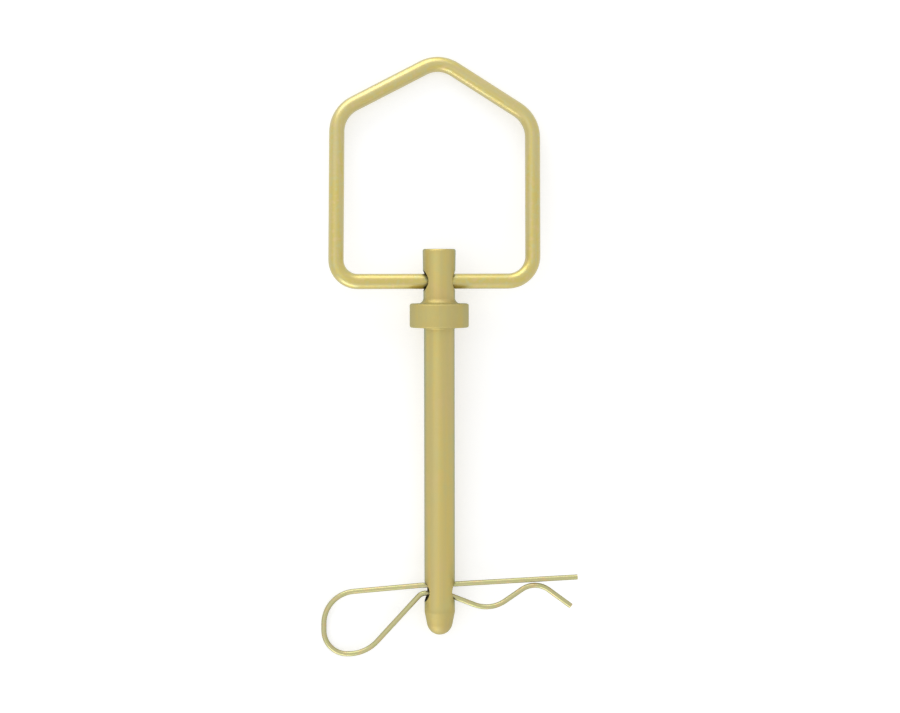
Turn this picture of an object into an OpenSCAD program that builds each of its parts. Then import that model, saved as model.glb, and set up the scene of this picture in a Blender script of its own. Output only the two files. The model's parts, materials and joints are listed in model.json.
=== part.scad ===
// Swivel-handle hitch pin with its spring clip, lying at rest on a level surface.
// Millimetres, +Z up. The origin is on the pin's axis, at the seat under the collar.
// The tip points towards -Y and the handle lies towards +Y.

/* [Pin] */
// Diameter of the shank
shank_d = 19.05; // [17:0.05:21]
// Usable length, from the seat under the collar to the near edge of the clip's hole
usable_l = 158.75; // [110:0.25:220]
// Diameter of the collar
collar_d = 36.8; // [32:0.1:42]
// Thickness of the collar
collar_t = 14.9; // [8:0.1:18]
// Round on the two rims of the collar
collar_round = 1.2; // [0.4:0.1:2]
// Fillet between the shank and the seat
seat_fillet = 1.2; // [0.4:0.1:2]
// Diameter of the head at its top
head_d = 20.5; // [19.5:0.1:24]
// How much narrower the head is at its root
head_draft = 0.9; // [0:0.1:1.4]
// Height of the head above the collar
head_h = 34; // [30:0.5:44]
// Round on the top of the head
head_round = 1.3; // [0.4:0.1:3]
// Fillet between the head and the collar
head_fillet = 3.7; // [1:0.1:5]
// From the centre of the clip's hole to the end of the tip
tip_l = 27.3; // [24:0.1:36]
// Radius of the rounded nose
nose_r = 8.05; // [7:0.05:8.4]
// Slope of the taper that leads to the nose, in degrees
taper_angle = 11.5; // [8:0.5:20]

/* [Cross holes] */
// Height of the handle's hole above the collar
eye_h = 14.3; // [12:0.1:18]
// Diameter of the handle's hole
eye_d = 13.2; // [11.6:0.1:14.5]
// Diameter of the clip's hole
clip_hole_d = 12.7; // [12:0.1:14]

/* [Handle] */
// Diameter of the handle's rod
rod_d = 9.525; // [8:0.025:10.5]
// Width between the centrelines of the two sides
frame_w = 123.4; // [100:0.1:150]
// Length of the left side, from the bottom bar to the shoulder
left_side_l = 106.4; // [85:0.1:130]
// Length of the right side, from the bottom bar to the shoulder
right_side_l = 102.8; // [85:0.1:130]
// Height of the peak's corner above the bottom bar
peak_h = 140.5; // [138:0.1:175]
// Lean of the two sides towards the right, in degrees
frame_lean = 1.2; // [-3:0.1:3]
// How far the handle has slid to the left in its hole
frame_slide = 2.5; // [-8:0.1:8]
// Bend radius at the lower left corner
left_corner_r = 13.4; // [8:0.1:20]
// Bend radius at the lower right corner
corner_r = 16.1; // [8:0.1:20]
// Bend radius at the two shoulders
shoulder_r = 20.5; // [10:0.1:26]
// Bend radius at the peak
peak_r = 19.3; // [12:0.1:24]
// Gap between the two ends of the rod, inside the head
end_gap = 2; // [0.5:0.1:4]
// Clearance under the rod where it lies in its hole
rod_seat_gap = 0.2; // [0.1:0.05:0.5]
// How far the rod has rolled up the wall of its hole towards the collar, in degrees
rod_climb = 18; // [0:1:40]

/* [Clip] */
// Diameter of the spring wire
wire_d = 3.175; // [2.5:0.025:3.4]
// Reach of the loop to the left of the pin's axis
loop_reach = 72.5; // [60:0.1:90]
// Height of the loop
loop_h = 37.7; // [35:0.1:46]
// Height of the loop's upper corner over the centre of the hole
loop_top = -1.5; // [-3:0.1:1]
// Radius of the bend at the loop's upper corner
loop_r = 20.3; // [18:0.1:24]
// Radius of the tighter bend below it
loop_end_r = 14.6; // [10:0.1:15]
// Radius of the bend where the return leg starts
loop_low_r = 24.1; // [18:0.1:26]
// Slope of the return leg that closes the loop, in degrees
return_angle = 47.4; // [44:0.5:54]
// Where the return leg turns into the hole, left of the pin's axis
throat_x = 11.4; // [11:0.1:14]
// Depth of that turn below the centre of the hole
throat_depth = 1.1; // [0.4:0.1:1.6]
// Radius of that turn
throat_r = 6.2; // [4:0.1:8]
// Reach of the straight leg to the right of the pin's axis
leg_reach = 86.4; // [60:0.1:110]
// Slope of the straight leg, in degrees
leg_angle = 3; // [2.6:0.1:5]
// Bend radius where a leg only changes slope
leg_bend_r = 18; // [12:1:30]
// How much lower the straight leg is where it leaves the hole on the left
leg_drop = 0.7; // [0:0.1:1.2]
// Clearance between the straight leg and the wall of the hole
leg_play = 0.2; // [0.1:0.05:0.6]
// Where the wavy leg starts to dip, right of the pin's axis
wave_x = 4.6; // [2:0.1:8]
// Depth of that point below the centre of the hole
wave_depth = 1.9; // [1:0.1:2.5]
// Distance from the pin's axis to the corner of the dip
dip_x = 31.9; // [28:0.1:36]
// Depth of the dip's corner below the centre of the hole
dip_depth = 12.6; // [10:0.1:15]
// Bend radius at the dip
dip_r = 20.5; // [14:0.1:24]
// Distance from the pin's axis to the corner of the crest
crest_x = 60; // [56:0.1:64]
// Height of the crest's corner over the centre of the hole
crest_h = 6.7; // [4:0.1:6.9]
// Bend radius at the crest
crest_r = 14.5; // [12:0.1:16]
// Reach of the wavy leg to the right of the pin's axis
tail_reach = 82.3; // [76:0.1:90]
// Depth of the wavy leg's end below the centre of the hole
tail_depth = 9.8; // [6:0.1:14]

/* [Hidden] */
$fn = 96;
nose_step = 0.02;       // how much wider the taper ends than the nose starts, on the radius
bend_draw = 0.02;       // how much thinner a bend is than its straights, on the radius
bend_lap = 0.5;         // how far a bend runs on inside its straights, in degrees
seam_turn = -90;        // lines up where a bend's circle and its straights' circles start
least_straight = 0.5;   // shortest straight left between two bends
least_turn = 0.01;      // below this a corner is straight, in degrees
lean_passes = 12;       // passes that settle how far the clip leans

// The pin's stations, measured along its axis from the seat, positive towards the head
shank_r = shank_d / 2;
collar_r = collar_d / 2;
head_r = head_d / 2;
root_r = head_r - head_draft / 2;
head_top = collar_t + head_h;
eye_y = collar_t + eye_h;
clip_hole_r = clip_hole_d / 2;
clip_hole_y = -(usable_l + clip_hole_r);
tip_end = clip_hole_y - tip_l;
nose_y = tip_end + nose_r;
taper_end_r = nose_r * cos(taper_angle);
taper_end_y = nose_y - nose_r * sin(taper_angle);
taper_y = taper_end_y + (shank_r - taper_end_r) / tan(taper_angle);

// The pin lies on the rim of its collar and on the end of its shank, with its tip low
rise = collar_round - taper_y;
fall = collar_r - collar_round - shank_r;
incline = asin(collar_round / norm([rise, fall])) + atan2(fall, rise);
floor_z = taper_y * sin(incline) - shank_r * cos(incline);

// The handle's rod lies low in its hole, and its peak rests on the surface. Its path runs from
// one end of the rod, round the left side, over the peak and back to the other end.
rod_r = rod_d / 2;
rod_room = eye_d / 2 - rod_r - rod_seat_gap;
rod_sit = rod_room * cos(rod_climb);
rod_y = eye_y - rod_room * sin(rod_climb);
left_x = -frame_w / 2 - frame_slide;
right_x = frame_w / 2 - frame_slide;
frame_path = [
    [-end_gap / 2, 0, 0],
    [left_x, 0, left_corner_r],
    [left_x + left_side_l * tan(frame_lean), left_side_l, shoulder_r],
    [peak_h * tan(frame_lean), peak_h, peak_r],
    [right_x + right_side_l * tan(frame_lean), right_side_l, shoulder_r],
    [right_x, 0, corner_r],
    [end_gap / 2, 0, 0],
];
peak = 3;               // the peak's place in that list of corners
hinge_z = rod_y * sin(incline) - rod_sit * cos(incline);
peak_reach = bend_centre(frame_path, peak)[1] + bend_r(frame_path, peak);
frame_dip = asin((hinge_z - rod_r - floor_z) / peak_reach);

// The clip leans in its hole until its loop rests on the surface
wire_r = wire_d / 2;
loop_low = loop_top - loop_h;
clip_lean = lean_at(asin(wire_r / loop_reach), lean_passes);
leg_room = clip_hole_r - wire_r - leg_play;
leg_y = sqrt(pow(leg_room, 2) - pow(shank_r * sin(clip_lean), 2));
return_run = (-throat_depth - loop_low) / tan(return_angle);
clip_path = [
    [leg_reach, leg_y + (leg_reach - shank_r) * tan(leg_angle), 0],
    [shank_r, leg_y, leg_bend_r],
    [-throat_x, leg_y - leg_drop, leg_bend_r],
    [-loop_reach, loop_top, loop_r],
    [-loop_reach, loop_low, loop_end_r],
    [-throat_x - return_run, loop_low, loop_low_r],
    [-throat_x, -throat_depth, throat_r],
    [wave_x, -wave_depth, leg_bend_r],
    [dip_x, -dip_depth, dip_r],
    [crest_x, crest_h, crest_r],
    [tail_reach, -tail_depth, 0],
];

// The lean of the clip, closed in on step by step: each pass puts the loop's lower bend,
// which is what touches down, on the surface
function lean_at(lean, passes) = passes == 0 ? lean :
    let (
        x = -loop_reach + loop_end_r,
        y = clip_hole_y + loop_low + loop_end_r,
        bow = loop_end_r * norm([sin(incline), sin(lean) * cos(incline)]),
        drop = floor_z + wire_r + bow - y * sin(incline)
    ) lean_at(asin(drop / (x * cos(incline))), passes - 1);

// A rod's path is a list of corners, [x, y, bend radius], with a radius of 0 at both ends
function corner(path, i) = [path[i][0], path[i][1]];
function is_end(path, i) = i == 0 || i == len(path) - 1;
function heading(path, i) = atan2(path[i + 1][1] - path[i][1], path[i + 1][0] - path[i][0]);
function wrapped(a) = a > 180 ? a - 360 : a < -180 ? a + 360 : a;
function turn(path, i) = wrapped(heading(path, i) - heading(path, i - 1));
function span(path, i) = norm(corner(path, i + 1) - corner(path, i));

// A bend keeps the radius asked for, unless the straights beside it are too short for that
function wanted(path, i) = is_end(path, i) ? 0 : path[i][2] * tan(abs(turn(path, i)) / 2);
function room(path, i) = (span(path, i) - least_straight) / (wanted(path, i) + wanted(path, i + 1));
function bend_r(path, i) = path[i][2] * min(1, room(path, i - 1), room(path, i));
function setback(path, i) = is_end(path, i) ? 0 : bend_r(path, i) * tan(abs(turn(path, i)) / 2);

function along(a) = [cos(a), sin(a)];
function bend_start(path, i) = corner(path, i) - setback(path, i) * along(heading(path, i - 1));
function bend_end(path, i) = corner(path, i) + setback(path, i) * along(heading(path, i));
function inward(path, i) = heading(path, i - 1) + (turn(path, i) > 0 ? 90 : -90);
function bend_centre(path, i) = bend_start(path, i) + bend_r(path, i) * along(inward(path, i));

// A round rod bent along a path, out of straight cylinders and pieces of a ring. Bending draws
// the rod a hair thinner, so each bend comes out of the flat ends of its two straights.
module bent_rod(path, r) {
    for (i = [0 : len(path) - 2])
        straight(bend_end(path, i), bend_start(path, i + 1), r);
    for (i = [1 : len(path) - 2])
        if (abs(turn(path, i)) > least_turn)
            bend(bend_centre(path, i), bend_r(path, i), first_angle(path, i), abs(turn(path, i)), r);
}

function first_angle(path, i) = turn(path, i) > 0 ? heading(path, i - 1) - 90 : heading(path, i) + 90;

module straight(from, to, r) {
    way = to - from;
    translate([from[0], from[1], 0])
        rotate([0, 90, atan2(way[1], way[0])])
            cylinder(h = norm(way), r = r);
}

module bend(centre, bend_r, from, sweep, r) {
    translate([centre[0], centre[1], 0])
        rotate([0, 0, from - bend_lap])
            rotate_extrude(angle = sweep + 2 * bend_lap)
                translate([bend_r, 0]) rotate(seam_turn) circle(r = r - bend_draw);
}

// Puts something built along the pin's own axis where the pin lies
module laid() {
    rotate([incline, 0, 0]) children();
}

// A fillet's section, in the corner to the right of and above (or below) the given point
module fillet_section(x, y, r, up) {
    difference() {
        translate([x, up ? y : y - r]) square(r);
        translate([x + r, up ? y + r : y - r]) circle(r = r);
    }
}

// The shank with its taper, and a nose that comes out of the taper's flat end
module shank_section() {
    end_r = taper_end_r + nose_step;
    top = collar_t / 2;
    polygon([[0, taper_end_y], [end_r, taper_end_y], [shank_r, taper_y], [shank_r, top], [0, top]]);
    intersection() {
        translate([0, nose_y]) circle(r = nose_r);
        translate([0, tip_end - nose_r]) square(2 * nose_r);
    }
    fillet_section(shank_r, 0, seat_fillet, false);
}

module collar_section() {
    square([collar_r - collar_round, collar_t]);
    translate([0, collar_round]) square([collar_r, collar_t - 2 * collar_round]);
    for (y = [collar_round, collar_t - collar_round])
        translate([collar_r - collar_round, y]) circle(r = collar_round);
}

module head_section() {
    shoulder_y = head_top - head_round;
    polygon([[0, collar_t], [root_r, collar_t], [head_r, shoulder_y], [0, shoulder_y]]);
    translate([0, shoulder_y]) square([head_r - head_round, head_round]);
    intersection() {
        translate([head_r - head_round, shoulder_y]) circle(r = head_round);
        translate([head_r - head_round, shoulder_y]) square(head_round);
    }
    fillet_section(root_r, collar_t, head_fillet, true);
}

// A hole straight through the pin from side to side, cut as long as the collar is wide
module cross_hole(y, d) {
    translate([0, y, 0]) rotate([0, 90, 0]) cylinder(h = collar_d, d = d, center = true);
}

module pin() {
    color("#c8b873")
        laid() difference() {
            rotate([-90, 0, 0]) rotate_extrude() {
                shank_section();
                collar_section();
                head_section();
            }
            cross_hole(eye_y, eye_d);
            cross_hole(clip_hole_y, clip_hole_d);
        }
}

module handle() {
    color("#d6c26b")
        laid() translate([0, rod_y, -rod_sit])
            rotate([-incline - frame_dip, 0, 0])
                bent_rod(frame_path, rod_r);
}

module clip() {
    color("#c2b786")
        laid() translate([0, clip_hole_y, 0])
            rotate([0, -clip_lean, 0])
                bent_rod(clip_path, wire_r);
}

pin();
handle();
clip();
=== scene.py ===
"""The finish of a swivel-handle hitch pin and its spring clip, and the studio that it lies in."""

import json
import math

import bpy
import bmesh
from bpy.props import FloatProperty, FloatVectorProperty, PointerProperty
from mathutils import Matrix, Vector


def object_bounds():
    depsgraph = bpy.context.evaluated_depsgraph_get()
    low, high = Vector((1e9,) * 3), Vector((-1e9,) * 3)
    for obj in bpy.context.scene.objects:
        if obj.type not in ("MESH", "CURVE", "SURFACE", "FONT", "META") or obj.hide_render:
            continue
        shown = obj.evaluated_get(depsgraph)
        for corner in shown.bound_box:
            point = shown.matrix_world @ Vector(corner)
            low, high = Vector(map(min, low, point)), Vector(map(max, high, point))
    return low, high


bl_info = {
    "name": "Hitch pin",
    "version": (1, 0, 0),
    "blender": (4, 5, 0),
    "location": "3D View > Sidebar > Hitch Pin",
    "description": "Finishes a zinc plated hitch pin, its swivel handle and its spring clip",
    "category": "Object",
}

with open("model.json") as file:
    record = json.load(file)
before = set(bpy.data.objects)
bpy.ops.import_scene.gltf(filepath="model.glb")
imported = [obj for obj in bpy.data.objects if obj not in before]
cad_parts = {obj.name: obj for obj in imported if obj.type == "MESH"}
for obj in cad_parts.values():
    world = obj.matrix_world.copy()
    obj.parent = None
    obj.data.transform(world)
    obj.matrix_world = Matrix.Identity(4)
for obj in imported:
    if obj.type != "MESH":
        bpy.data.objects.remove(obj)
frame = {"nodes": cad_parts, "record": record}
CAD_BOX = [list(corner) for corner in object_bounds()]
NODES = frame["nodes"]
MM = 0.001

# The pin, measured along its own axis from the seat under its collar
COLLAR = 14.9 * MM                    # thickness of the turned collar
TIP_START = -175.9 * MM               # where the tip's turned taper starts
BORES = [(29.2 * MM, 6.6 * MM), (-165.1 * MM, 6.35 * MM)]      # place and radius of each hole
BORE_MARGIN = 0.04 * MM               # a hole's wall is found this far past its radius

# The handle's frame, seen from above
HANDLE_CORNERS = [(-64.2 * MM, 28.7 * MM), (-62.0 * MM, 134.9 * MM), (2.9 * MM, 168.8 * MM),
                  (61.4 * MM, 131.3 * MM), (59.2 * MM, 28.7 * MM)]
HANDLE_MIDDLE = (0, 90 * MM)
HANDLE_BEND = 12 * MM                 # how softly the streaks turn at a corner

# Where a mask starts and where it is full. The first four are levels of a noise.
GREEN_FILM = (0.62, 0.42)             # the thinner the film, the greener
ROSE_FILM = (0.62, 0.84)              # the thicker the film, the rosier
PITS = (0.30, 0.22)
STREAKS = (0.36, 0.66)
FROM_SEAT = (-0.10, 0.0)              # in thicknesses of the collar
TO_HEAD = (1.35, 0.90)                # likewise
FROM_TIP = (0.98, 1.01)               # in distances from the seat to the tip's taper

# Scales of finer and broader noises against the main one, and how much they add
FINE_CLOUDS = 5.3
FINE_CLOUDS_SHARE = 0.22
BROAD_PATCHES = 0.02
PIT_SCALE = 0.12
PIT_DEPTH = 1.5
NOISE_ROUGHNESS = 0.55
STRETCH = 50                          # how many times longer than wide a drawn line is

# How the marks are weighed in the finish
GRAIN_SPREAD = 0.12                   # how far the grain varies the roughness
LINE_HEIGHT = 1.6                     # height of the draw lines against the grain's
RING_HEIGHT = 2.2                     # height of the turned rings against the grain's
DULLING = 0.55                        # how much of the dull colour a streak has
PALING = 0.35                         # how much of their paler colour the turned faces have
MARK_STRENGTH = 0.12
MARK_DEPTH = 0.02 * MM

# The floor, and the lamps' places, widths and heights in metres
FLOOR_Z = CAD_BOX[0][2]
LIFT = 0.01 * MM                      # the floor lies this far under the object
LAMP_AIM = (0, 0.02, 0)
KEY_PLACE = (-0.35, 1.15, 0.36)
KEY_SIZE = (1.1, 0.85)
FILL_PLACE = (-0.5, -1.15, 0.3)
FILL_SIZE = (1.0, 0.6)
TOP_PLACE = (-0.95, 0, 1.75)
TOP_SIZE = (1.2, 1.6)


# ---------------------------------------------------------------- settings

class PlatingColours(bpy.types.PropertyGroup):
    """The colours of the yellow zinc plating"""

    pin_gold: FloatVectorProperty(
        name="Pin", description="Colour of the plating on the pin",
        subtype="COLOR", size=3, min=0, max=1, default=(0.552, 0.443, 0.150))
    handle_gold: FloatVectorProperty(
        name="Handle", description="Colour of the plating on the handle",
        subtype="COLOR", size=3, min=0, max=1, default=(0.522, 0.418, 0.062))
    clip_gold: FloatVectorProperty(
        name="Clip", description="Colour of the plating on the clip",
        subtype="COLOR", size=3, min=0, max=1, default=(0.480, 0.450, 0.235))
    green: FloatVectorProperty(
        name="Green cast", description="Where the chromate film is thin",
        subtype="COLOR", size=3, min=0, max=1, default=(0.450, 0.460, 0.200))
    rose: FloatVectorProperty(
        name="Rose cast", description="Where the chromate film is thick",
        subtype="COLOR", size=3, min=0, max=1, default=(0.600, 0.420, 0.200))
    dull: FloatVectorProperty(
        name="Dull streaks", description="Streaks that drawing the bar left in its surface",
        subtype="COLOR", size=3, min=0, max=1, default=(0.485, 0.425, 0.200))
    turned: FloatVectorProperty(
        name="Turned faces", description="Paler plating on the turned collar and tip",
        subtype="COLOR", size=3, min=0, max=1, default=(0.540, 0.455, 0.190))
    # Painted shade: a near-black colour for the walls of the two cross holes, standing in for the
    # shade inside them
    bore_shade: FloatVectorProperty(
        name="Bores", description="Thinly plated steel on the walls of the two cross holes",
        subtype="COLOR", size=3, min=0, max=1, default=(0.055, 0.047, 0.028))
    pin_edge: FloatVectorProperty(
        name="Pin's edge", description="Tint of the pin where it is seen at a glancing angle",
        subtype="COLOR", size=3, min=0, max=1, default=(0.30, 0.62, 1.0))
    handle_edge: FloatVectorProperty(
        name="Handle's edge", description="Tint of the handle where it is seen at a glancing angle",
        subtype="COLOR", size=3, min=0, max=1, default=(0.88, 0.94, 1.0))
    clip_edge: FloatVectorProperty(
        name="Clip's edge", description="Tint of the clip where it is seen at a glancing angle",
        subtype="COLOR", size=3, min=0, max=1, default=(0.02, 0.02, 0.03))


class SurfaceSizes(bpy.types.PropertyGroup):
    """Sizes of the marks in the plating, and how rough it is"""

    cloud: FloatProperty(
        name="Clouds", description="Size of the clouds of tint in the chromate film",
        subtype="DISTANCE", unit="LENGTH", default=14 * MM)
    mottle: FloatProperty(
        name="Mottle", description="Size of the patches in the handle's and the clip's film",
        subtype="DISTANCE", unit="LENGTH", default=4 * MM)
    line_pitch: FloatProperty(
        name="Draw lines", description="Distance between the lines that drawing left in the bar",
        subtype="DISTANCE", unit="LENGTH", default=0.35 * MM)
    streak: FloatProperty(
        name="Streaks", description="Width of the dull streaks along a bar",
        subtype="DISTANCE", unit="LENGTH", default=3.2 * MM)
    turning: FloatProperty(
        name="Turning marks", description="Pitch of the rings that turning left round the pin",
        subtype="DISTANCE", unit="LENGTH", default=0.3 * MM)
    grain: FloatProperty(
        name="Grain", description="Size of the crystals in the zinc",
        subtype="DISTANCE", unit="LENGTH", default=0.25 * MM)
    pin_roughness: FloatProperty(
        name="Pin roughness", description="Roughness of the pin's satin plating",
        subtype="FACTOR", min=0, max=1, default=0.46)
    turned_roughness: FloatProperty(
        name="Turned roughness", description="How much rougher the turned collar and tip are",
        subtype="FACTOR", min=0, max=1, default=0.2)
    handle_roughness: FloatProperty(
        name="Handle roughness", description="Roughness of the handle's bright plating",
        subtype="FACTOR", min=0, max=1, default=0.42)
    clip_roughness: FloatProperty(
        name="Clip roughness", description="Roughness of the clip's plating",
        subtype="FACTOR", min=0, max=1, default=0.38)
    pin_gloss: FloatProperty(
        name="Pin gloss", description="How much the clear film on the pin reflects by itself",
        subtype="FACTOR", min=0, max=1, default=0.045)
    handle_gloss: FloatProperty(
        name="Handle gloss", description="How much the clear film on the handle reflects by itself",
        subtype="FACTOR", min=0, max=1, default=0.8)
    clip_gloss: FloatProperty(
        name="Clip gloss", description="How much the clear film on the clip reflects by itself",
        subtype="FACTOR", min=0, max=1, default=0.02)
    pin_cast: FloatProperty(
        name="Pin cast", description="How much green and rose show in the pin's film",
        subtype="FACTOR", min=0, max=1, default=0.35)
    handle_cast: FloatProperty(
        name="Handle cast", description="How much green and rose show in the handle's film",
        subtype="FACTOR", min=0, max=1, default=0.5)
    clip_cast: FloatProperty(
        name="Clip cast", description="How much green and rose show in the clip's film",
        subtype="FACTOR", min=0, max=1, default=0.6)
    film_index: FloatProperty(
        name="Film index", description="Index of refraction of the clear chromate film",
        min=1, max=2.5, default=2.0)
    film_roughness: FloatProperty(
        name="Film roughness", description="Roughness of the clear chromate film",
        subtype="FACTOR", min=0, max=1, default=0.38)


class StudioSettings(bpy.types.PropertyGroup):
    """The camera, the lamps and the floor"""

    lens: FloatProperty(
        name="Lens", description="Focal length of the camera, in millimetres",
        subtype="DISTANCE_CAMERA", unit="CAMERA", default=85)
    distance: FloatProperty(
        name="Distance", description="From the camera to the point that it looks at",
        subtype="DISTANCE", unit="LENGTH", default=1322 * MM)
    tilt: FloatProperty(
        name="Tilt", description="How far the camera leans to the left of straight above",
        subtype="ANGLE", unit="ROTATION", default=math.radians(7))
    roll: FloatProperty(
        name="Roll", description="Turn of the picture about the camera's own axis",
        subtype="ANGLE", unit="ROTATION", default=math.radians(-0.43))
    target: FloatVectorProperty(
        name="Target", description="The point that the camera looks at",
        subtype="TRANSLATION", unit="LENGTH", size=3, default=(6.5 * MM, -18.1 * MM, 0.8 * MM))
    floor_size: FloatProperty(
        name="Floor", description="Width of the floor",
        subtype="DISTANCE", unit="LENGTH", default=12)
    floor_white: FloatProperty(
        name="Floor white", description="How white the floor's paint is",
        subtype="FACTOR", min=0, max=1, default=0.65)
    floor_glow: FloatProperty(
        name="Floor glow", description="White that the floor adds to what the camera sees of it",
        subtype="FACTOR", min=0, max=1, default=0.5)
    sky: FloatProperty(
        name="Room light", description="Strength of the light from all around, where 1 is white",
        subtype="FACTOR", min=0, max=1, default=0.72)
    key: FloatProperty(
        name="Key lamp", description="Power of the large low lamp beyond the handle",
        subtype="POWER", unit="POWER", default=6.8)
    fill: FloatProperty(
        name="Fill lamp", description="Power of the low lamp beyond the tip, on the left",
        subtype="POWER", unit="POWER", default=5.0)
    top: FloatProperty(
        name="Top lamp", description="Power of the soft lamp over the object, to the left",
        subtype="POWER", unit="POWER", default=2.1)


# ---------------------------------------------------------------- node helpers

COLOUR_MIX_INPUTS = (0, 6, 7)         # a Mix node's factor and its two colours
COLOUR_MIX_RESULT = 2


def node(tree, kind, label="", **values):
    """A new shader node, with its settings and the values of its sockets. A socket's name is
    given with _ for each space in it."""
    made = tree.nodes.new(kind)
    made.label = label
    for name, value in values.items():
        if hasattr(made, name):
            setattr(made, name, value)
        else:
            made.inputs[name.replace("_", " ")].default_value = value
    return made


def feed(tree, value, socket):
    """Links another socket to this one, or sets this one to a plain value."""
    if isinstance(value, bpy.types.NodeSocket):
        tree.links.new(value, socket)
    else:
        socket.default_value = value


def math_node(tree, operation, *values, clamp=False):
    """A Math node on sockets or numbers. Returns its output socket."""
    made = node(tree, "ShaderNodeMath", operation=operation, use_clamp=clamp)
    for value, socket in zip(values, made.inputs):
        feed(tree, value, socket)
    return made.outputs[0]


def mixed_colour(tree, factor, a, b):
    """A mix of two sockets or colours. Returns its output socket."""
    made = node(tree, "ShaderNodeMix", data_type="RGBA")
    for slot, value in zip(COLOUR_MIX_INPUTS, (factor, a, b)):
        feed(tree, value, made.inputs[slot])
    return made.outputs[COLOUR_MIX_RESULT]


def ramped(tree, value, start, full):
    """0 where value is at start and 1 where it is at full, with a soft change between. Either
    may be the larger one."""
    made = node(tree, "ShaderNodeMapRange", interpolation_type="SMOOTHSTEP",
                From_Min=start, From_Max=full)
    tree.links.new(value, made.inputs["Value"])
    return made.outputs["Result"]


def noise(tree, vector, scale, detail):
    """A noise texture on a place and a scale, both sockets. Returns its Fac socket."""
    made = node(tree, "ShaderNodeTexNoise", Detail=detail, Roughness=NOISE_ROUGHNESS)
    tree.links.new(vector, made.inputs["Vector"])
    tree.links.new(scale, made.inputs["Scale"])
    return made.outputs["Fac"]


def new_group(name, inputs, outputs):
    """A node group with named sockets and nothing in it yet. Returns it with the sockets that
    it is given and with its output node."""
    tree = bpy.data.node_groups.new(name, "ShaderNodeTree")
    for direction, sockets in (("INPUT", inputs), ("OUTPUT", outputs)):
        for label, kind in sockets.items():
            tree.interface.new_socket(
                name=label, in_out=direction, socket_type="NodeSocket" + kind)
    return tree, tree.nodes.new("NodeGroupInput").outputs, tree.nodes.new("NodeGroupOutput")


def effect(tree, name, place, **values):
    """A shared effect in a material, with its own values. Its first socket takes the place."""
    made = node(tree, "ShaderNodeGroup", node_tree=bpy.data.node_groups[name], **values)
    tree.links.new(place, made.inputs[0])
    return made


def seen_rays(tree):
    """1 for what the camera sees, directly, in a reflection or through glass, and else 0."""
    path = node(tree, "ShaderNodeLightPath").outputs
    rays = math_node(tree, "ADD", path["Is Camera Ray"], path["Is Glossy Ray"])
    return math_node(tree, "ADD", rays, path["Is Transmission Ray"], clamp=True)


# ---------------------------------------------------------------- effects

def chromate_film():
    """Drifts of green and rose in the gold of a chromate film, as its thickness varies."""
    tree, given, out = new_group(
        "Chromate film",
        {"Vector": "Vector", "Gold": "Color", "Green": "Color", "Rose": "Color",
         "Cloud scale": "Float", "Strength": "Float"},
        {"Color": "Color"})
    film = noise(tree, given["Vector"], given["Cloud scale"], 2)
    fine_scale = math_node(tree, "MULTIPLY", given["Cloud scale"], FINE_CLOUDS)
    fine = noise(tree, given["Vector"], fine_scale, 2)
    fine = math_node(tree, "MULTIPLY", fine, FINE_CLOUDS_SHARE)
    thickness = math_node(tree, "ADD", film, fine)
    colour = given["Gold"]
    for limits, cast in ((GREEN_FILM, "Green"), (ROSE_FILM, "Rose")):
        share = math_node(tree, "MULTIPLY", ramped(tree, thickness, *limits), given["Strength"])
        colour = mixed_colour(tree, share, colour, given[cast])
    tree.links.new(colour, out.inputs["Color"])


def zinc_grain():
    """Fine crystals of the zinc, and small pits, as a height and a roughness that vary."""
    tree, given, out = new_group(
        "Zinc grain",
        {"Vector": "Vector", "Grain scale": "Float", "Roughness": "Float", "Spread": "Float"},
        {"Height": "Float", "Roughness": "Float"})
    grain = noise(tree, given["Vector"], given["Grain scale"], 2)
    broad_scale = math_node(tree, "MULTIPLY", given["Grain scale"], BROAD_PATCHES)
    broad = noise(tree, given["Vector"], broad_scale, 3)
    pit_scale = math_node(tree, "MULTIPLY", given["Grain scale"], PIT_SCALE)
    pits = ramped(tree, noise(tree, given["Vector"], pit_scale, 1), *PITS)
    height = math_node(tree, "SUBTRACT", grain, math_node(tree, "MULTIPLY", pits, PIT_DEPTH))
    swing = math_node(tree, "SUBTRACT", math_node(tree, "ADD", broad, grain), 1)
    spread = math_node(tree, "MULTIPLY", swing, given["Spread"])
    roughness = math_node(tree, "ADD", given["Roughness"], spread, clamp=True)
    tree.links.new(height, out.inputs["Height"])
    tree.links.new(roughness, out.inputs["Roughness"])


def drawn_bar():
    """Fine lines and dull streaks that run along a drawn bar, from a place that is stretched
    out along it."""
    tree, given, out = new_group(
        "Drawn bar",
        {"Vector": "Vector", "Line scale": "Float", "Streak scale": "Float"},
        {"Height": "Float", "Streak": "Float"})
    lines = noise(tree, given["Vector"], given["Line scale"], 1)
    streaks = noise(tree, given["Vector"], given["Streak scale"], 1.5)
    tree.links.new(lines, out.inputs["Height"])
    tree.links.new(ramped(tree, streaks, *STREAKS), out.inputs["Streak"])


def turned_rings():
    """Rings that a lathe left round the axis, and a mask of the collar and the tip, where they
    are."""
    tree, given, out = new_group(
        "Turned rings",
        {"Along": "Float", "Ring scale": "Float", "Tip": "Float", "Collar": "Float"},
        {"Height": "Float", "Turned": "Float"})
    place = node(tree, "ShaderNodeCombineXYZ")
    tree.links.new(given["Along"], place.inputs["X"])
    rings = noise(tree, place.outputs["Vector"], given["Ring scale"], 1)
    up = math_node(tree, "DIVIDE", given["Along"], given["Collar"])
    collar = math_node(
        tree, "MULTIPLY", ramped(tree, up, *FROM_SEAT), ramped(tree, up, *TO_HEAD))
    down = math_node(tree, "DIVIDE", given["Along"], given["Tip"])
    turned = math_node(tree, "ADD", collar, ramped(tree, down, *FROM_TIP), clamp=True)
    tree.links.new(math_node(tree, "MULTIPLY", rings, turned), out.inputs["Height"])
    tree.links.new(turned, out.inputs["Turned"])


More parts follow.
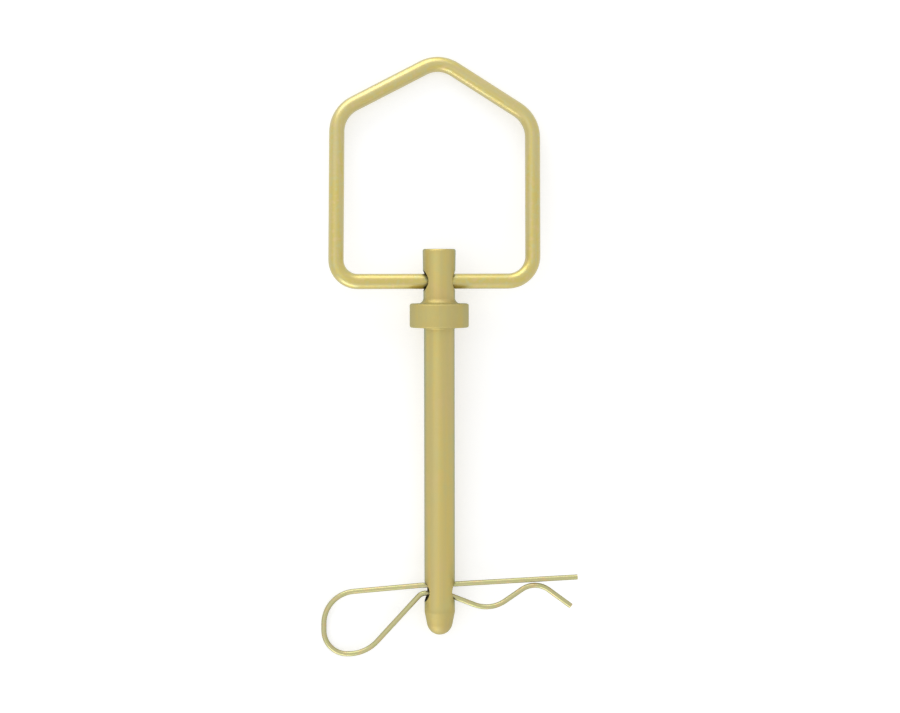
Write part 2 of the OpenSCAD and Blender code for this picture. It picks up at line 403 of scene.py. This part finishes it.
class HITCHPIN_OT_effects(bpy.types.Operator):
    """Make the effects that the platings share"""

    bl_idname = "hitch_pin.effects"
    bl_label = "Plating effects"

    def execute(self, context):
        chromate_film()
        zinc_grain()
        drawn_bar()
        turned_rings()
        return {"FINISHED"}


# ---------------------------------------------------------------- materials

def along_pin(tree, place):
    """A place in the pin's own frame, which lies a few degrees out of level."""
    mounts = {mount["name"]: mount for mount in frame["record"]["mounts"]}
    axis = Vector(mounts["shank"]["axis"])
    incline = math.atan2(-axis.z, -axis.y)
    level = node(tree, "ShaderNodeMapping", "Along the pin", Rotation=(-incline, 0, 0))
    tree.links.new(place, level.inputs["Vector"])
    return level.outputs["Vector"]


def along_handle(tree, place):
    """A place with its X measured outwards across the handle's rod, from the middle of the
    handle's frame. The frame is convex, so that is the largest distance beyond one of its five
    straights."""
    corners = [Vector(corner) for corner in HANDLE_CORNERS]
    outwards = None
    for start, end in zip(corners, corners[1:] + corners[:1]):
        way = (end - start).normalized()
        normal = Vector((way.y, -way.x))
        if normal.dot(Vector(HANDLE_MIDDLE) - start) > 0:
            normal.negate()
        reach = node(tree, "ShaderNodeVectorMath", operation="DOT_PRODUCT")
        tree.links.new(place, reach.inputs[0])
        reach.inputs[1].default_value = (*normal, 0)
        beyond = math_node(tree, "SUBTRACT", reach.outputs["Value"], normal.dot(start))
        if outwards is None:
            outwards = beyond
        else:
            outwards = math_node(tree, "SMOOTH_MAX", outwards, beyond, HANDLE_BEND)
    parts = node(tree, "ShaderNodeSeparateXYZ")
    tree.links.new(place, parts.inputs[0])
    across = node(tree, "ShaderNodeCombineXYZ")
    for axis, value in (("X", outwards), ("Y", parts.outputs["Y"]), ("Z", parts.outputs["Z"])):
        tree.links.new(value, across.inputs[axis])
    return across.outputs["Vector"]


def stretched(tree, place):
    """A place drawn out along Y, so that a noise in it makes lines."""
    drawn = node(tree, "ShaderNodeMapping", "Stretched along the bar", Scale=(1, 1 / STRETCH, 1))
    tree.links.new(place, drawn.inputs["Vector"])
    return drawn.outputs["Vector"]


def plating(name, gold, edge, gloss, roughness, cloud, cast, across):
    """Yellow zinc plating. across is the function that gives the place across a drawn bar,
    which has streaks along it, or None for a wire, which hasn't."""
    colours = bpy.context.scene.hitch_pin_colours
    sizes = bpy.context.scene.hitch_pin_sizes
    material = bpy.data.materials.new(name)
    material.use_nodes = True
    tree = material.node_tree
    shader = tree.nodes["Principled BSDF"]
    shader.inputs["Metallic"].default_value = 1
    shader.inputs["Specular Tint"].default_value = (*edge, 1)
    shader.inputs["Coat Weight"].default_value = gloss
    shader.inputs["Coat Roughness"].default_value = sizes.film_roughness
    shader.inputs["Coat IOR"].default_value = sizes.film_index

    place = node(tree, "ShaderNodeTexCoord").outputs["Object"]
    film = effect(tree, "Chromate film", place, Gold=(*gold, 1), Green=(*colours.green, 1),
                  Rose=(*colours.rose, 1), Cloud_scale=1 / cloud, Strength=cast)
    grain = effect(tree, "Zinc grain", place, Grain_scale=1 / sizes.grain,
                   Roughness=roughness, Spread=GRAIN_SPREAD)
    colour = film.outputs["Color"]
    height = grain.outputs["Height"]
    if across:
        bar = effect(tree, "Drawn bar", stretched(tree, across(tree, place)),
                     Line_scale=1 / sizes.line_pitch, Streak_scale=1 / sizes.streak)
        lines = math_node(tree, "MULTIPLY", bar.outputs["Height"], LINE_HEIGHT)
        height = math_node(tree, "ADD", height, lines)
        dull = math_node(tree, "MULTIPLY", bar.outputs["Streak"], DULLING)
        colour = mixed_colour(tree, dull, colour, (*colours.dull, 1))

    bump = node(
        tree, "ShaderNodeBump", "Surface marks", Strength=MARK_STRENGTH, Distance=MARK_DEPTH)
    tree.links.new(height, bump.inputs["Height"])
    tree.links.new(colour, shader.inputs["Base Color"])
    tree.links.new(grain.outputs["Roughness"], shader.inputs["Roughness"])
    tree.links.new(bump.outputs["Normal"], shader.inputs["Normal"])
    return material


def pin_axes(tree):
    """The X, Y and Z sockets of a place in the pin's own frame."""
    place = node(tree, "ShaderNodeTexCoord").outputs["Object"]
    parts = node(tree, "ShaderNodeSeparateXYZ")
    tree.links.new(along_pin(tree, place), parts.inputs[0])
    return parts.outputs


def repaint(tree, factor, colour):
    """Mixes a colour into the plating's own, as far as the factor says."""
    base = tree.nodes["Principled BSDF"].inputs["Base Color"]
    tree.links.new(mixed_colour(tree, factor, base.links[0].from_socket, (*colour, 1)), base)


def paint_bore_shade(material):
    """Paints shade on the walls of the two cross holes: a near-black colour that stands in for the
    shade inside them.
    """
    tree = material.node_tree
    place = pin_axes(tree)
    height = math_node(tree, "MULTIPLY", place["Z"], place["Z"])
    shaded_walls = 0
    for middle, radius in BORES:
        along = math_node(tree, "SUBTRACT", place["Y"], middle)
        square = math_node(tree, "MULTIPLY", along, along)
        away = math_node(tree, "SQRT", math_node(tree, "ADD", square, height))
        wall = math_node(tree, "LESS_THAN", away, radius + BORE_MARGIN)
        shaded_walls = math_node(tree, "ADD", shaded_walls, wall, clamp=True)
    repaint(tree, shaded_walls, bpy.context.scene.hitch_pin_colours.bore_shade)


def add_turning(material):
    """Adds the lathe's rings to the pin's collar and tip, which are rougher and paler."""
    sizes = bpy.context.scene.hitch_pin_sizes
    tree = material.node_tree
    shader = tree.nodes["Principled BSDF"]
    rings = effect(tree, "Turned rings", pin_axes(tree)["Y"], Ring_scale=1 / sizes.turning,
                   Tip=TIP_START, Collar=COLLAR)
    marks = shader.inputs["Normal"].links[0].from_node.inputs["Height"]
    higher = math_node(tree, "MULTIPLY", rings.outputs["Height"], RING_HEIGHT)
    higher = math_node(tree, "ADD", marks.links[0].from_socket, higher)
    tree.links.new(higher, marks)

    roughness = shader.inputs["Roughness"]
    rougher = math_node(tree, "MULTIPLY", rings.outputs["Turned"], sizes.turned_roughness)
    rougher = math_node(tree, "ADD", roughness.links[0].from_socket, rougher, clamp=True)
    tree.links.new(rougher, roughness)
    paler = math_node(tree, "MULTIPLY", rings.outputs["Turned"], PALING)
    repaint(tree, paler, bpy.context.scene.hitch_pin_colours.turned)


def dress(name, material):
    """Gives a node its material. Its form stays as the frame brought it."""
    mesh = NODES[name].data
    mesh.materials.clear()
    mesh.materials.append(material)


class HITCHPIN_OT_pin(bpy.types.Operator):
    """Plate the pin: head, collar, shank and tip"""

    bl_idname = "hitch_pin.pin"
    bl_label = "Pin"

    def execute(self, context):
        colours, sizes = context.scene.hitch_pin_colours, context.scene.hitch_pin_sizes
        satin = plating(
            "Satin plating", colours.pin_gold, colours.pin_edge, sizes.pin_gloss,
            sizes.pin_roughness, sizes.cloud, sizes.pin_cast, along_pin)
        # Painted shade on the walls of the two cross holes
        paint_bore_shade(satin)
        add_turning(satin)
        dress("pin", satin)
        return {"FINISHED"}


class HITCHPIN_OT_handle(bpy.types.Operator):
    """Plate the bent handle"""

    bl_idname = "hitch_pin.handle"
    bl_label = "Handle"

    def execute(self, context):
        colours, sizes = context.scene.hitch_pin_colours, context.scene.hitch_pin_sizes
        dress("handle", plating(
            "Bright plating", colours.handle_gold, colours.handle_edge, sizes.handle_gloss,
            sizes.handle_roughness, sizes.mottle, sizes.handle_cast, along_handle))
        return {"FINISHED"}


class HITCHPIN_OT_clip(bpy.types.Operator):
    """Plate the spring clip"""

    bl_idname = "hitch_pin.clip"
    bl_label = "Spring clip"

    def execute(self, context):
        colours, sizes = context.scene.hitch_pin_colours, context.scene.hitch_pin_sizes
        dress("clip", plating(
            "Wire plating", colours.clip_gold, colours.clip_edge, sizes.clip_gloss,
            sizes.clip_roughness, sizes.mottle, sizes.clip_cast, None))
        return {"FINISHED"}


# ---------------------------------------------------------------- studio

def floor_paint(white, glow):
    """Matt white paint. What the camera sees of it, directly or in reflections, also glows, so
    that it looks plain white apart from a soft shadow."""
    material = bpy.data.materials.new("Floor paint")
    material.use_nodes = True
    tree = material.node_tree
    tree.nodes.remove(tree.nodes["Principled BSDF"])
    matt = node(tree, "ShaderNodeBsdfDiffuse", Color=(white, white, white, 1))
    glowing = node(tree, "ShaderNodeEmission", Color=(1, 1, 1, 1))
    strength = math_node(tree, "MULTIPLY", seen_rays(tree), glow)
    tree.links.new(strength, glowing.inputs["Strength"])
    both = node(tree, "ShaderNodeAddShader")
    tree.links.new(matt.outputs[0], both.inputs[0])
    tree.links.new(glowing.outputs[0], both.inputs[1])
    tree.links.new(both.outputs[0], tree.nodes["Material Output"].inputs["Surface"])
    return material


def make_floor(size, white, glow):
    """A level square under the object."""
    mesh = bpy.data.meshes.new("Floor")
    square = bmesh.new()
    bmesh.ops.create_grid(square, x_segments=1, y_segments=1, size=size / 2)
    bmesh.ops.translate(square, verts=square.verts, vec=(0, 0, FLOOR_Z - LIFT))
    square.to_mesh(mesh)
    square.free()
    mesh.materials.append(floor_paint(white, glow))
    floor = bpy.data.objects.new("Floor", mesh)
    bpy.context.scene.collection.objects.link(floor)


def make_lamp(name, power, place, size):
    """A soft lamp at a place, as wide and high as size says, turned to the object."""
    light = bpy.data.lights.new(name, "AREA")
    light.shape = "RECTANGLE"
    light.size, light.size_y = size
    light.energy = power
    lamp = bpy.data.objects.new(name, light)
    lamp.location = place
    way = Vector(LAMP_AIM) - Vector(place)
    lamp.rotation_euler = way.to_track_quat("-Z", "Y").to_euler()
    bpy.context.scene.collection.objects.link(lamp)


def make_world(strength):
    """Even light from all around, and white where the camera sees it."""
    world = bpy.data.worlds.new("Room")
    world.use_nodes = True
    tree = world.node_tree
    level = node(tree, "ShaderNodeMapRange", To_Min=strength, To_Max=1)
    tree.links.new(seen_rays(tree), level.inputs["Value"])
    background = tree.nodes["Background"]
    background.inputs["Color"].default_value = (1, 1, 1, 1)
    tree.links.new(level.outputs["Result"], background.inputs["Strength"])
    bpy.context.scene.world = world


def make_camera(studio):
    """Looks down on the object as it lies, from a little to the left."""
    data = bpy.data.cameras.new("Camera")
    data.lens = studio.lens
    camera = bpy.data.objects.new("Camera", data)
    back = Vector((-math.sin(studio.tilt), 0, math.cos(studio.tilt)))
    level = Matrix.Rotation(-studio.tilt, 4, "Y") @ Matrix.Rotation(studio.roll, 4, "Z")
    place = Vector(studio.target) + back * studio.distance
    camera.matrix_world = Matrix.Translation(place) @ level
    bpy.context.scene.collection.objects.link(camera)
    bpy.context.scene.camera = camera


class HITCHPIN_OT_studio(bpy.types.Operator):
    """Set up the floor, the lamps, the room's light and the camera"""

    bl_idname = "hitch_pin.studio"
    bl_label = "Studio"

    def execute(self, context):
        studio = context.scene.hitch_pin_studio
        make_floor(studio.floor_size, studio.floor_white, studio.floor_glow)
        make_world(studio.sky)
        make_lamp("Key", studio.key, KEY_PLACE, KEY_SIZE)
        make_lamp("Fill", studio.fill, FILL_PLACE, FILL_SIZE)
        make_lamp("Top", studio.top, TOP_PLACE, TOP_SIZE)
        make_camera(studio)
        context.scene.view_settings.view_transform = "Standard"
        return {"FINISHED"}


OPERATORS = (HITCHPIN_OT_effects, HITCHPIN_OT_pin, HITCHPIN_OT_handle, HITCHPIN_OT_clip,
             HITCHPIN_OT_studio)


class HITCHPIN_PT_panel(bpy.types.Panel):
    """Lists the pieces of the hitch pin and the studio"""

    bl_idname = "HITCHPIN_PT_panel"
    bl_label = "Hitch pin"
    bl_space_type = "VIEW_3D"
    bl_region_type = "UI"
    bl_category = "Hitch Pin"

    def draw(self, context):
        for operator in OPERATORS:
            self.layout.operator(operator.bl_idname)


CLASSES = (PlatingColours, SurfaceSizes, StudioSettings, *OPERATORS, HITCHPIN_PT_panel)


def register():
    for cls in CLASSES:
        bpy.utils.register_class(cls)
    bpy.types.Scene.hitch_pin_colours = PointerProperty(type=PlatingColours)
    bpy.types.Scene.hitch_pin_sizes = PointerProperty(type=SurfaceSizes)
    bpy.types.Scene.hitch_pin_studio = PointerProperty(type=StudioSettings)


def unregister():
    del bpy.types.Scene.hitch_pin_studio
    del bpy.types.Scene.hitch_pin_sizes
    del bpy.types.Scene.hitch_pin_colours
    for cls in reversed(CLASSES):
        bpy.utils.unregister_class(cls)


def main():
    register()
    bpy.ops.hitch_pin.effects()
    bpy.ops.hitch_pin.pin()
    bpy.ops.hitch_pin.handle()
    bpy.ops.hitch_pin.clip()
    bpy.ops.hitch_pin.studio()


if __name__ == "__main__":
    main()
